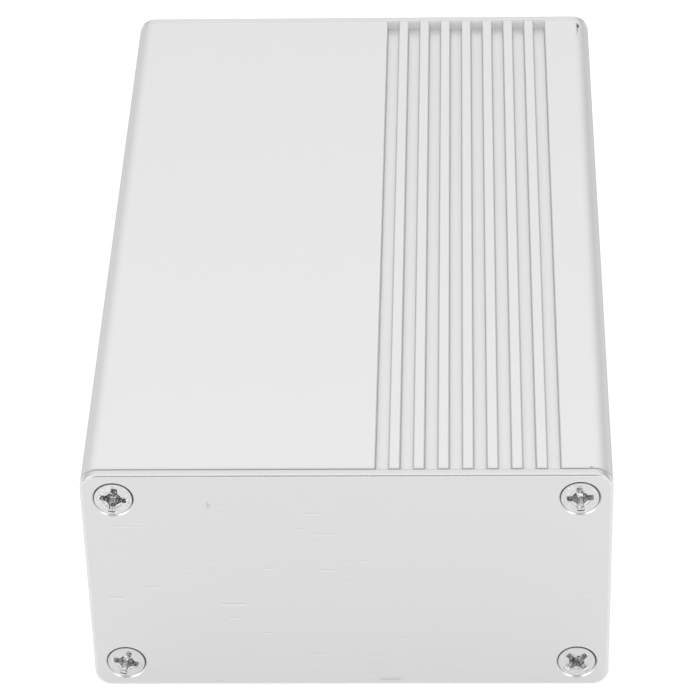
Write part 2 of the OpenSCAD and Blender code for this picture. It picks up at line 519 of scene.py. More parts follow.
def scratch(given):
    """One scratch or speck: how close a point lies to the line from Start to End, within Width, and the
    same for the painted highlight just below it. Both taper to nothing at the two ends.

    Limits are nodes of their own, made in the order of their use. A limit that is another node's setting
    is worked out last, and many scratches together then need more room than a shader has.
    """
    run = given["End"].vector("SUBTRACT", given["Start"])
    away = given["Position"].vector("SUBTRACT", given["Start"])
    reach = away.vector("DOT_PRODUCT", run, "Value") / run.vector("DOT_PRODUCT", run, "Value")
    reach = reach.math("MAXIMUM", 0.0).math("MINIMUM", 1.0)
    foot = run.vector("SCALE", reach)
    below = output(run.tree, "ShaderNodeCombineXYZ", {"Z": given["Width"] * -HIGHLIGHT_DROP})
    taper = (reach - reach * reach).ramp(0.0, 0.18)
    masks = {}
    for label, line in (("Mask", foot), ("Rim", foot.vector("ADD", below))):
        gap = away.vector("DISTANCE", line, "Value") / given["Width"]
        masks[label] = gap.ramp(1.0, 0.2) * taper
    return masks


# The groups and the first values of their inputs, numbers or vectors
GROUPS = {
    drawn_lines: {"Position": ZERO, "Stretch": ONES},
    metal_grain: {"Position": ZERO, "Scale": 6.0},
    edge_wear: {"Position": ZERO, "Edge": 0.0, "Amount": 0.5},
    scratch: {"Position": ZERO, "Start": ZERO, "End": ONES, "Width": 0.1},
}


def group(maker):
    """The shader node group of a function that works out its outputs, all numbers, from its inputs."""
    tree = bpy.data.node_groups.new(maker.__name__, "ShaderNodeTree")
    for label, first in GROUPS[maker].items():
        kind = "NodeSocketVector" if isinstance(first, tuple) else "NodeSocketFloat"
        tree.interface.new_socket(label, in_out="INPUT", socket_type=kind).default_value = first
    made = maker(outputs(tree.nodes.new("NodeGroupInput")))
    for label in made:
        tree.interface.new_socket(label, in_out="OUTPUT", socket_type="NodeSocketFloat")
    wire(tree.nodes.new("NodeGroupOutput"), made)
    return tree


def use(maker, position, **inputs):
    """Outputs of a shared group placed in a material with its own values, at a position."""
    inputs = {"Position": position, **inputs}
    shared = bpy.data.node_groups.get(maker.__name__) or group(maker)
    return outputs(new_node(position.tree, "ShaderNodeGroup", inputs, node_tree=shared))


# Finishes

# Specular level of the metals' clear skin
SKIN_MIRROR = 0.25
# Scratches on the front panel: across and up where they start and end, from the middle of the panel's
# foot in mm, and strength
FRONT_SCRATCHES = (
    (-34.0, 30.8, -31.0, 30.8, 0.5), (-31.5, 30.7, -29.0, 30.7, 0.3), (-35.3, 17.2, -32.6, 17.2, 0.8),
    (-19.0, 15.9, -14.8, 15.9, 1.0), (-18.8, 34.5, -17.6, 34.5, 0.3), (-6.4, 33.0, -3.8, 33.0, 0.6),
    (-7.9, 30.1, -6.0, 30.1, 0.6), (-4.6, 29.2, -1.5, 29.2, 0.5), (-5.7, 27.9, -3.9, 27.8, 0.3),
    (-12.2, 22.7, -10.5, 22.7, 0.5), (-4.5, 22.4, -1.6, 22.4, 0.5), (-29.4, 19.2, -27.6, 19.3, 0.7),
    (-18.0, 13.2, -15.8, 13.2, 0.4), (-13.0, 10.3, -10.9, 10.3, 0.5), (-6.0, 6.2, -3.5, 6.1, 0.4),
    (-0.1, 24.0, 1.2, 24.0, 0.4), (-0.2, 20.3, 0.9, 20.2, 0.4), (2.7, 5.8, 4.3, 5.8, 0.5),
    (-11.7, 28.4, -10.5, 28.4, 0.25), (-5.7, 29.2, -4.6, 29.2, 0.2), (-4.9, 21.8, -3.4, 21.6, 0.35),
    (1.5, 24.0, 3.1, 24.2, 0.35), (-1.0, 17.8, 0.1, 17.8, 0.25), (-23.0, 24.0, -21.7, 24.0, 0.3),
    (-20.0, 24.0, -18.8, 23.9, 0.35), (-15.9, 21.9, -15.0, 21.4, 0.25), (-10.4, 10.9, -9.5, 10.8, 0.25),
    (3.2, 32.3, 4.6, 32.2, 0.25), (7.6, 9.2, 8.9, 9.3, 0.4), (-0.2, 5.3, 1.0, 5.3, 0.3),
    (-7.2, 4.6, -4.5, 4.6, 0.2), (2.1, 2.2, 3.4, 2.2, 0.35), (7.7, 34.5, 9.8, 34.5, 0.12),
    (-18.3, 30.7, -17.1, 30.7, 0.15),
)
# Dark marks there that have no painted highlight, in the same way
FRONT_STAINS = (
    (3.8, 1.2, 7.8, 1.2, 1.0), (3.9, 0.95, 7.6, 0.95, 0.9), (-20.3, 0.8, -18.9, 0.8, 0.6),
    (-0.6, 0.7, 0.6, 0.7, 0.4), (-20.0, 35.3, -19.8, 33.9, 0.9), (-19.8, 35.1, -19.6, 33.9, 0.9),
    (-19.6, 34.9, -19.4, 34.2, 0.7),
)
SCRATCH_WIDTH = 0.17
# Specks there: across and up in mm, then the width, half length and tilt that they share
FRONT_SPECKS = ((31.5, 11.6), (34.3, 17.7), (-19.5, 21.7), (-22.9, 21.7), (12.9, 12.3), (26.9, 3.1))
SPECK_WIDTH, SPECK_HALF, SPECK_TILT = 0.13, 0.2, 0.05


def metal(name, metallic, rim):
    """A new metal material: itself, its tree, its Principled BSDF and its position in millimetres.
    rim is how much of the light the metal still mirrors where it is seen edge on."""
    material = bpy.data.materials.new(name)
    material.use_nodes = True
    tree = material.node_tree
    shader = tree.nodes["Principled BSDF"]
    wire(shader, {"Metallic": metallic, "Specular Tint": grey(rim), "Specular IOR Level": SKIN_MIRROR})
    position = output(tree, "ShaderNodeTexCoord", name="Object").vector("SCALE", 1.0 / MM)
    return material, tree, shader, position


def attribute(tree, name):
    """A value that the mesh carries at its points."""
    return output(tree, "ShaderNodeAttribute", name="Fac", attribute_name=name)


def worn(position, amount):
    """Where the edges of a material have rubbed bright."""
    return use(edge_wear, position, Edge=attribute(position.tree, "edge"), Amount=amount)["Mask"]


def toned(tint, tone, depth):
    """A tint made a little darker and lighter by a tone around 0.5."""
    inputs = {0: tuple(tint), "Scale": around(tone, 1.0, depth)}
    return output(tone.tree, "ShaderNodeVectorMath", inputs, operation="SCALE")


def layered(skin, **layers):
    """A colour with named layers over it, each given by its mask and its grey."""
    for mask, level in layers.values():
        inputs = {0: mask, 6: skin, 7: grey(level)}
        skin = output(skin.tree, "ShaderNodeMix", inputs, name=2, data_type="RGBA")
    return skin


def bumped(height, distance):
    """Normals tilted by a height, where one unit of it stands distance metres high."""
    return output(height.tree, "ShaderNodeBump", {"Height": height, "Distance": distance}, "Normal")


def anodised_finish(settings):
    """Clear matte anodising: fine grain, faint lengthwise die lines, edges rubbed a little brighter."""
    material, tree, shader, position = metal("clear_anodising", metallic=0.6, rim=0.29)
    grain = use(metal_grain, position, Scale=5.0)
    lines = use(drawn_lines, position, Stretch=(2.4, 0.02, 2.4))
    wear = worn(position, amount=0.5)
    # Painted shade: the nicks and the crevices, which are the groove roots and the front seam, are
    # painted darker.
    dirt = attribute(tree, "pit").math("MAXIMUM", attribute(tree, "crevice") * 0.7)
    skin = layered(
        toned(settings.tint, weighted(grain["Tone"], lines["Tone"], part=0.5), depth=0.02),
        # floor is painted light: the groove floors are painted a lighter grey, against the shade in the
        # grooves.
        floor=(attribute(tree, "floor"), 0.93), rubbed=(wear, 0.9), dirt=(dirt, 0.12),
    )
    rough = around(grain["Tone"], settings.roughness, spread=0.08) - wear * 0.08
    height = weighted(grain["Height"], lines["Height"], part=0.5)
    wire(shader, {"Base Color": skin, "Roughness": rough, "Normal": bumped(height, distance=0.004 * MM)})
    return material


def brushed_finish(settings):
    """Sheet brushed from side to side, with the scratches, stains and specks of the front face and a
    painted highlight below each scratch and speck, bare edges and countersinks, painted lighter on the
    lower side of each countersink as a painted highlight, painted shade in the countersinks and along the
    front seam, and matte inner faces painted near white as painted light."""
    metallic = 0.9
    material, tree, shader, position = metal("brushed_sheet", metallic, rim=0.8)
    lines = use(drawn_lines, position, Stretch=(0.12, 1.0, 9.0))
    grain = use(metal_grain, position, Scale=4.0)
    wear = worn(position, amount=0.55)
    # matte marks the inner faces, which are painted near white: painted light on faces that lie in shade.
    bare, matte = attribute(tree, "bare"), attribute(tree, "matte")
    face = FRONT_LOW.y / MM
    scratched, lit, specked = 0.0, 0.0, 0.0

    def mark(left, left_up, right, right_up, width):
        """Outputs of one mark on the front face."""
        start, end = (left, face, left_up), (right, face, right_up)
        return use(scratch, position, Start=start, End=end, Width=width)

    for marks, has_highlight in ((FRONT_SCRATCHES, True), (FRONT_STAINS, False)):
        for *ends, strength in marks:
            line = mark(*ends, SCRATCH_WIDTH)
            scratched = line["Mask"].math("MULTIPLY_ADD", strength, scratched)
            if has_highlight:
                lit = line["Rim"].math("MULTIPLY_ADD", strength, lit)
    for across, up in FRONT_SPECKS:
        speck = mark(across - SPECK_HALF, up, across + SPECK_HALF, up + SPECK_TILT, SPECK_WIDTH)
        specked = speck["Mask"] + specked
        lit = speck["Rim"] + lit
    # Painted shade: crevice darkens each countersink below its unshaded depth and the front panel along
    # its seam; the specks are real dark marks.
    dirt = (specked * 0.4).math("MAXIMUM", attribute(tree, "crevice"))
    skin = layered(
        toned(settings.tint, weighted(lines["Tone"], grain["Tone"], part=0.7), depth=0.06),
        # bare: bare metal of the edges and countersinks, painted lighter on the lower side of each
        # countersink as a painted highlight.
        bare=(bare, 0.87), matte=(matte, 0.95), rubbed=(wear * 0.5, 0.8),
        # lit: a painted highlight just below each scratch and speck.
        scratched=(scratched * 0.3, 0.3), lit=(lit * 0.5, 0.95), dirt=(dirt, 0.34),
    )
    rough = around(lines["Tone"], settings.roughness, spread=0.12)
    rough = rough - wear * 0.12 - bare.ramp(0.7, 1.0) * 0.18
    height = lines["Height"] - (scratched + specked) * 3.0
    wire(shader, {
        "Metallic": matte.math("MULTIPLY_ADD", -metallic, metallic), "Base Color": skin,
        "Roughness": rough, "Normal": bumped(height, distance=0.006 * MM),
    })
    return material


def plated_finish(settings):
    """Bright plating on turned steel: fine grain, rubbed edges with a painted highlight on the lower side
    of each head's round, a torn, darker skin in the recess with painted glints, and painted shade in the
    crevices round each head.
    """
    material, tree, shader, position = metal("bright_plating", metallic=1.0, rim=1.0)
    recess = attribute(tree, "recess")
    grain = use(metal_grain, position, Scale=9.0)
    wear = worn(position, amount=0.8)
    flakes = noise(position, scale=3.0, rough=0.6)
    inside = recess.ramp(0.0, 0.2)
    flecks = inside * (flakes + 0.1 - recess * 0.1).ramp(0.46, 0.54, to_low=0.95, to_high=0.0)
    film = flecks.math("MAXIMUM", recess.ramp(0.5, 1.0, to_high=0.6))
    # Painted highlight: glints painted near white in the recess.
    glint = inside * flakes.ramp(0.54, 0.58)
    torn = recess * flakes * 8.0
    skin = layered(
        toned(settings.tint, grain["Tone"], depth=0.14),
        # rubbed includes a painted highlight on the lower side of each head's round.
        film=(film, 0.1), glint=(glint, 0.97), rubbed=(wear, 0.9),
        # Painted shade: crevice darkens the gap under each head, the upper side of each head's round and
        # the line behind the burr.
        dirt=(attribute(tree, "crevice"), 0.03),
    )
    wire(shader, {
        "Metallic": recess.math("MULTIPLY_ADD", -0.5, 1.0), "Base Color": skin,
        "Roughness": around(grain["Tone"], settings.roughness, spread=0.16),
        "Normal": bumped(grain["Height"] + torn, distance=0.02 * MM),
    })
    return material


# Sleeve

# Nicks in the top of the sleeve: middle across and along, half width, half length and depth
NICKS = MM * np.array([
    (36.2, 58.6, 0.22, 0.65, 0.24),
    (36.1, 57.3, 0.14, 0.9, 0.09),
    (36.0, 55.9, 0.10, 0.7, 0.03),
    (34.9, -59.78, 0.28, 0.26, 0.12),
])
# Depth below the top down to which nicks reach, and the depth from which a nick is painted fully dark as
# painted shade
NICK_BAND, NICK_DARK = 1.2 * MM, 0.2 * MM
# Gap left between the points of a nick and a rounded corner
DENT_GAP = 0.02 * MM
# Wear of the sleeve's edges, and painted shade in the roots of its grooves
EDGE_WEAR, ROOT_SHADE = 0.6, 0.22
# Painted shade in a seam: how far from it rounded edges fill up, and beside it the most painted shade and
# how that falls
SEAM_REACH = 0.5 * MM
SEAM_MOST, SEAM_START, SEAM_FALL_PER_MM = 0.12, 0.2, 0.35


def nick_steps(middle, half, reach, steps):
    """Close steps over every nick, from reach half sizes before its middle to as many behind it.
    middle and half are the columns of NICKS that hold the two."""
    spread = np.linspace(-reach, reach, steps)
    return (NICKS[:, middle, None] + NICKS[:, half, None] * spread).reshape(-1)


def groove_middles(settings):
    """Middles of the grooves across the top, from right to left."""
    last = settings.width / 2 - settings.groove_inset - settings.groove_width / 2
    return last - settings.groove_pitch * np.arange(settings.groove_count)


def long_corners(settings, *steps):
    """The four long outer corners as arcs, anticlockwise from the lower right one."""
    radius = settings.corner_radius
    across, up = settings.width / 2 - radius, settings.height - radius
    centres = ((across, radius), (across, up), (-across, up), (-across, radius))
    starts = QUARTER * np.arange(-1, 3)
    return [
        arc(at, radius, start, start + QUARTER, many) for at, start, many in zip(centres, starts, steps)
    ]


def sleeve_outside(settings):
    """Outer outline of the sleeve, anticlockwise from the front, with the grooves in its top."""
    height, lip, root = settings.height, settings.lip_radius, settings.root_radius
    wall, low = settings.groove_width / 2, settings.height - settings.groove_depth
    half_groove = [
        corner(wall + lip + MARGIN, height),
        arc((wall + lip, height - lip), lip, QUARTER, HALF, steps=6),
        arc((wall - root, low + root), root, 0.0, -QUARTER, steps=6),
        corner(wall - root - MARGIN, low),
    ]
    groove = half_groove + mirrored(half_groove, -1, 1)
    middles = groove_middles(settings)
    low_right, top_right, top_left, low_left = long_corners(settings, 12, 40, 12, 12)
    flat = (middles[0] + wall + lip + 2 * MARGIN, top_right[0][-1, 0] - DENT_GAP)
    dents = nick_steps(middle=0, half=2, reach=2.0, steps=13)
    dents = np.sort(dents[(dents > flat[0]) & (dents < flat[1])])[::-1]
    return [
        low_right, top_right, *[corner(across, height) for across in dents],
        *[piece for middle in middles for piece in moved(groove, middle, 0.0)],
        top_left, low_left,
    ]


def screw_reach(sleeve, panel):
    """How far the screws lie across and up from the middle of the box."""
    return np.array([sleeve.width / 2 - panel.screw_inset_x, sleeve.height / 2 - panel.screw_inset_z])


def channel(settings, panel, cavity_half, rise):
    """Upper right screw channel from above its middle: the ring, its slit, the bore and the ring again.
    rise is the height of the wall above the middle of the box."""
    middle = screw_reach(settings, panel)
    bore = settings.channel_bore / 2
    ring = bore + settings.channel_wall
    slit = settings.channel_slit / 2
    at_wall = HALF - math.asin((rise - middle[1]) / ring)
    at_side = math.tau - math.acos((cavity_half - middle[0]) / ring)
    ring_slit, bore_slit = math.asin(slit / ring), math.asin(slit / bore)
    return [
        arc(middle, ring, at_wall, HALF - ring_slit, steps=3),
        arc(middle, bore, HALF - bore_slit, bore_slit - HALF, steps=30),
        arc(middle, ring, HALF + ring_slit, at_side, steps=14),
    ]


def sleeve_inside(settings, panel):
    """Inner outline of the sleeve, clockwise from the front: channels in the corners, guides beside."""
    middle, rib = settings.height / 2, settings.rib_thickness
    side = settings.width / 2 - settings.side_wall
    tip = side - settings.slot_depth
    top = middle - settings.groove_depth - settings.groove_web
    floor = middle - settings.floor_wall
    slots = settings.slot_pitch * (np.arange(settings.slot_count)[::-1] - (settings.slot_count - 1) / 2)
    guides = []
    for slot in slots:
        for upper in (slot + settings.slot_height / 2 + rib, slot - settings.slot_height / 2):
            lower = upper - rib
            guides += [corner(side, upper), corner(tip, upper), corner(tip, lower), corner(side, lower)]
    low_channel = mirrored(channel(settings, panel, side, floor), 1, -1)
    right = channel(settings, panel, side, top) + guides + low_channel
    return moved(right + mirrored(right, -1, 1), 0.0, middle)


def nicked(points, quads, normals):
    """Presses the nicks into the top: each is a smooth oval hollow, deep over most of its width.
    The hollow's depth is its full depth times exp(-q * q), where q is the squared distance from its
    middle, measured in half widths across and half lengths along."""
    depth, pit = np.zeros(len(points)), np.zeros(len(points))
    slope = np.zeros((len(points), 2))
    on_top = points[:, 2] > SLEEVE_HIGH.z - NICK_BAND
    for across, along, half_width, half_length, deep in NICKS:
        reach = np.array([half_width, half_length])
        offset = (points[:, :2] - np.array([across, along])) / reach
        q = (offset ** 2).sum(axis=1)
        hollow = np.where(on_top, np.exp(-q * q), 0.0)
        depth += deep * hollow
        slope += (deep * hollow * -4 * q)[:, None] * offset / reach
        # pit paints each nick darker with its depth: painted shade in the hollow.
        pit = np.maximum(pit, hollow * min(1.0, deep / NICK_DARK))
    tilt = np.pad(slope, ((0, 0), (0, 1)))
    return points - np.outer(depth, (0.0, 0.0, 1.0)), unit(normals + tilt[quads]), {"pit": pit}


def sleeve_stations(settings):
    """Profile of the sleeve along its length: rounded sawn ends, and close steps where the nicks are."""
    half, front, rear = settings.length / 2, settings.front_round, settings.rear_round
    first, last = front + MARGIN - half, half - rear - MARGIN
    close = nick_steps(middle=1, half=3, reach=1.9, steps=22)
    close = np.sort(np.concatenate([close[(close > first) & (close < last)], [first, last]]))
    return chain([
        arc((-front, front - half), front, -QUARTER, 0.0, steps=6),
        *[corner(0.0, along) for along in close],
        arc((-rear, half - rear), rear, 0.0, QUARTER, steps=4),
    ])


def turning(outline, sharp, way):
    """How tightly an outline turns at each point, from 0 to 1 for a radius of sharp metres or less.
    way is 1 for edges that stand out and -1 for corners that lie deep."""
    points, arriving, leaving = outline
    ahead = np.roll(arriving, -1, axis=0)
    gap = np.linalg.norm(np.roll(points, -1, axis=0) - points, axis=1)
    bend = np.linalg.norm(ahead - leaving, axis=1) / np.maximum(gap, TINY)
    tight = np.where(np.cross(leaving, ahead) * way > 0, np.clip(bend * sharp, 0.0, 1.0), 0.0)
    return np.maximum(tight, np.roll(tight, 1))


def edge_marks(outline, profile, sharp):
    """How much each point lies on an edge that stands out, of the outline or of the profile."""
    return np.maximum(turning(outline, sharp, 1)[None, :], turning(profile, sharp, 1)[:, None])


def seam_marks(profile, seam):
    """How deep each point of a profile lies in the seam, where the profile rounds down at y = seam:
    painted shade. A soft line of painted shade runs out over the next bit of the surface beside the seam."""
    shift, along = profile[0].T
    away = np.abs(along - seam)
    sunk = np.sqrt(np.clip(-shift / max(-shift.min(), TINY), 0.0, 1.0))
    beside = np.clip(SEAM_START - SEAM_FALL_PER_MM * away / MM, 0.0, SEAM_MOST)
    return np.maximum(np.where(away < SEAM_REACH, sunk, 0.0), beside)[:, None]


class PROJECTBOX_OT_sleeve(bpy.types.Operator):
    """Builds the extruded sleeve with its grooves, screw channels and board guides"""

    bl_idname = "projectbox.sleeve"
    bl_label = "Build Sleeve"

    def execute(self, context):
        settings, panel = context.scene.project_box.sleeve, context.scene.project_box.panel
        half = settings.length / 2
        skin = Skin()
        outside, stations = chain(sleeve_outside(settings)), sleeve_stations(settings)
        edge = EDGE_WEAR * edge_marks(outside, stations, settings.lip_radius)
        # Painted shade: the inner corners at the roots of the grooves are painted darker.
        root_shade = ROOT_SHADE * turning(outside, settings.root_radius, -1)
        rise = outside[0][:, 1] - settings.height + settings.groove_depth
        # Painted light: the groove floors are marked here to be painted lighter, against the shade inside
        # the grooves.
        floors = (np.abs(rise) < TINY).astype(float)
        # Painted shade: crevice holds the root shade and, away from the groove floors, the shade along
        # the front seam.
        crevice = np.maximum(root_shade[None, :], seam_marks(stations, -half) * (1 - floors[None, :]))
        outer = carry(
            skin, outside, stations, bend=nicked, edge=edge, crevice=crevice, floor=floors[None, :]
        )
        straight = chain([corner(0.0, -half), corner(0.0, half)])
        inner = carry(skin, chain(sleeve_inside(settings, panel)), straight)
        cap(skin, [outer[0], inner[0]], -1)
        cap(skin, [outer[-1], inner[-1]], 1)
        piece = skin.build("anodised_sleeve", anodised_finish(settings))
        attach(piece, "root")
        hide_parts("sleeve")
        return {"FINISHED"}


# Panels

# How bare the edge of a panel is that faces -1 or 1 along Y
EDGE_BARE = {-1: 0.35, 1: 0.6}
# Ways across and up to the side of a countersink with its painted highlight and to the side with more
# painted shade
HIGHLIGHT_WAY, SHADED_WAY = np.array([0.17, -0.98]), np.array([0.4, 1.2])
# Depth over which the painted shade in a countersink grows, in unshaded depths
SHADE_FADE = 0.6
HOLE_STEPS = 72


def panel_outline(sleeve):
    """Outline of a panel, the same as the sleeve's without its grooves, with points at their walls."""
    sides = sleeve.groove_width / 2 + MARGIN * np.array([1, -1])
    walls = groove_middles(sleeve)[:, None] + np.concatenate([sides, -sides[::-1]])[None]
    low_right, top_right, top_left, low_left = long_corners(sleeve, 16, 16, 16, 16)
    top = [corner(across, sleeve.height) for across in walls.reshape(-1)]
    return chain([low_right, top_right, *top, top_left, low_left])


def hole_outline(middle, radius):
    """Outline of a round hole, which runs clockwise."""
    points, normals = arc(middle, radius, 0.0, -math.tau, HOLE_STEPS)
    return chain([(points[:-1], normals[:-1])])


def hole_profile(settings, face, back):
    """Profile of a countersunk hole: lip, slope of 45 degrees and straight hole, from face to back along
    Y. Its first coordinate is measured from the hole's wall, and is negative where the hole is wider."""
    lip, unshaded = settings.countersink_lip, settings.clean_depth
    # The slope is split where the painted shade starts and where it is full.
    shaded = (1 + SHADE_FADE) * unshaded
    wide = (settings.hole - settings.countersink) / 2
    start = wide - lip * math.tan(EIGHTH / 2)
    return chain([
        arc((start, face + lip), lip, -QUARTER, -EIGHTH, steps=4),
        corner(wide + unshaded, face + unshaded), corner(wide + shaded, face + shaded),
        corner(0.0, face - wide), corner(0.0, back),
    ])


def hole_marks(hole, outline, settings, face, grime):
    """Marks of a hole: bare turned metal from its lip inwards, painted lighter on the lower side as a
    painted highlight, and painted shade below the unshaded depth, which is less on the upper side of the
    hole."""
    down = (hole[0][:, 1] - face)[:, None]
    spoke = (outline[0] - outline[0].mean(axis=0)) / (settings.hole / 2)
    unshaded = settings.clean_depth * (1 - 0.9 * np.clip(spoke @ SHADED_WAY + 0.1, 0.0, 1.0))
    # Painted highlight: the countersink's turned metal is painted lighter towards its lower side.
    bare = np.clip(4.0 * (spoke @ HIGHLIGHT_WAY) - 2.0, 0.2, 1.0)
    return {
        "bare": np.where(down > 0.2 * settings.countersink_lip, bare[None], 0.0),
        "crevice": grime * np.clip((down / unshaded[None] - 1.0) / SHADE_FADE, 0.0, 1.0),
        "matte": 1.0 * (down > settings.thickness - TINY),
    }


def screw_places(sleeve, panel):
    """Middles of the four screws of a panel."""
    return QUARTERS * screw_reach(sleeve, panel) + np.array([0.0, sleeve.height / 2])


def build_panel(box, name, node, facing, back_round, grime):
    """One panel facing -1 or 1 along Y: its edge carried round the outline, four countersunk holes and
    two flat faces. The rear panel is the front one turned half round."""
    sleeve, settings = box.sleeve, box.panel
    back = -sleeve.length / 2
    face = back - settings.thickness
    skin = Skin()
    outline = panel_outline(sleeve)
    profile = end_profile(face, back, settings.face_round, back_round)
    across, up = outline[0].T
    from_groove = np.abs(across[:, None] - groove_middles(sleeve)[None]).min(axis=1)
    # Painted shade along the front panel's seam, except where a groove lies behind the edge.
    seam = ((from_groove > sleeve.groove_width / 2) | (up < sleeve.height - TINY)) * (facing < 0)
    shift, along = profile[0].T[:, :, None]
    edge = carry(
        skin, outline, profile, edge=edge_marks(outline, profile, settings.face_round),
        crevice=seam_marks(profile, back) * seam[None],
        # matte: the inner face, painted near white as painted light.
        bare=np.where(shift > -TINY, EDGE_BARE[facing], 0.0), matte=1.0 * (along > back - TINY),
    )
    hole = hole_profile(settings, face, back)
    holes = []
    # grime sets how much painted shade each countersink gets.
    for middle, dirt in zip(screw_places(sleeve, settings), grime):
        rim = hole_outline(middle, settings.hole / 2)
        holes.append(carry(skin, rim, hole, **hole_marks(hole, rim, settings, face, dirt)))
    cap(skin, [edge[0]] + [ring[0] for ring in holes], -1)
    cap(skin, [edge[-1]] + [ring[-1] for ring in holes], 1)
    if facing > 0:
        half_turn = np.array([-1.0, -1.0, 1.0])
        skin.points = [points * half_turn for points in skin.points]
        skin.normals = [normals * half_turn for normals in skin.normals]
    material = bpy.data.materials.get("brushed_sheet") or brushed_finish(settings)
    piece = skin.build(name, material)
    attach(piece, "root")
    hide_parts(node)


class PROJECTBOX_OT_panels(bpy.types.Operator):
    """Builds the front and rear panels with their countersunk holes"""

    bl_idname = "projectbox.panels"
    bl_label = "Build Panels"

    def execute(self, context):
        box = context.scene.project_box
        rounds = box.panel.front_back_round, box.panel.rear_back_round
        build_panel(box, "brushed_front_panel", "front_panel", -1, rounds[0], box.screw.front_grime)
        build_panel(box, "brushed_rear_panel", "rear_panel", 1, rounds[1], box.screw.rear_grime)
        return {"FINISHED"}


# Screws

# How sharply the tips of a recess meet its sides, and its wings the core
TIP_POWER, CORE_POWER = 14, 9
# How far the wings of a recess draw in towards its bottom, in length and in width
WING_TAPER, SIDE_TAPER = 0.5, 0.12
# Radius of the bottom of a recess, in widths of a wing
FOOT_RADIUS = 0.75
# Rings over the burr: out from the lip in burr widths, up in burr heights, and the wear and painted shade
# there
BURR_RINGS = ((0.0, 1.0, 0.6, 0.0), (0.3, 0.8, 0.0, 0.0), (0.45, 0.2, 0.0, 1.0), (0.9, -0.1, 0.0, 1.0))
# How far the wear of one screw is shifted against the one before it
WEAR_SHIFT = 1.7
# Rings of points down the wall of a recess, round the edge of a head and in one turn of the thread
WALL_RINGS, ROUND_RINGS, THREAD_RINGS = 9, 5, 5


def recess_outline(turn, half_length, half_width, core):
    """Distance from the middle to the edge of a cross recess at an angle.
    A wing ends at half_length and is half_width wide on each side; the wings run together into the core
    through a soft maximum, which rounds the corners between them."""
    from_wing = np.abs((turn + EIGHTH) % QUARTER - EIGHTH)
    tip = half_length / np.cos(from_wing)
    side = half_width / np.maximum(np.sin(from_wing), TINY)
    wing = (tip ** -TIP_POWER + side ** -TIP_POWER) ** (-1 / TIP_POWER)
    return (wing ** CORE_POWER + core ** CORE_POWER) ** (1 / CORE_POWER)


def screw_angles():
    """Angles round a screw, closer together along the sides of the wings than elsewhere."""
    eighth = np.radians(np.concatenate([
        np.linspace(0, 11, 4, endpoint=False), np.linspace(11, 30, 8, endpoint=False),
        np.linspace(30, 45, 4, endpoint=False),
    ]))
    quarter = np.concatenate([eighth, QUARTER - np.append(eighth, EIGHTH)[:0:-1]])
    return (QUARTER * np.arange(4)[:, None] + quarter[None]).reshape(-1)


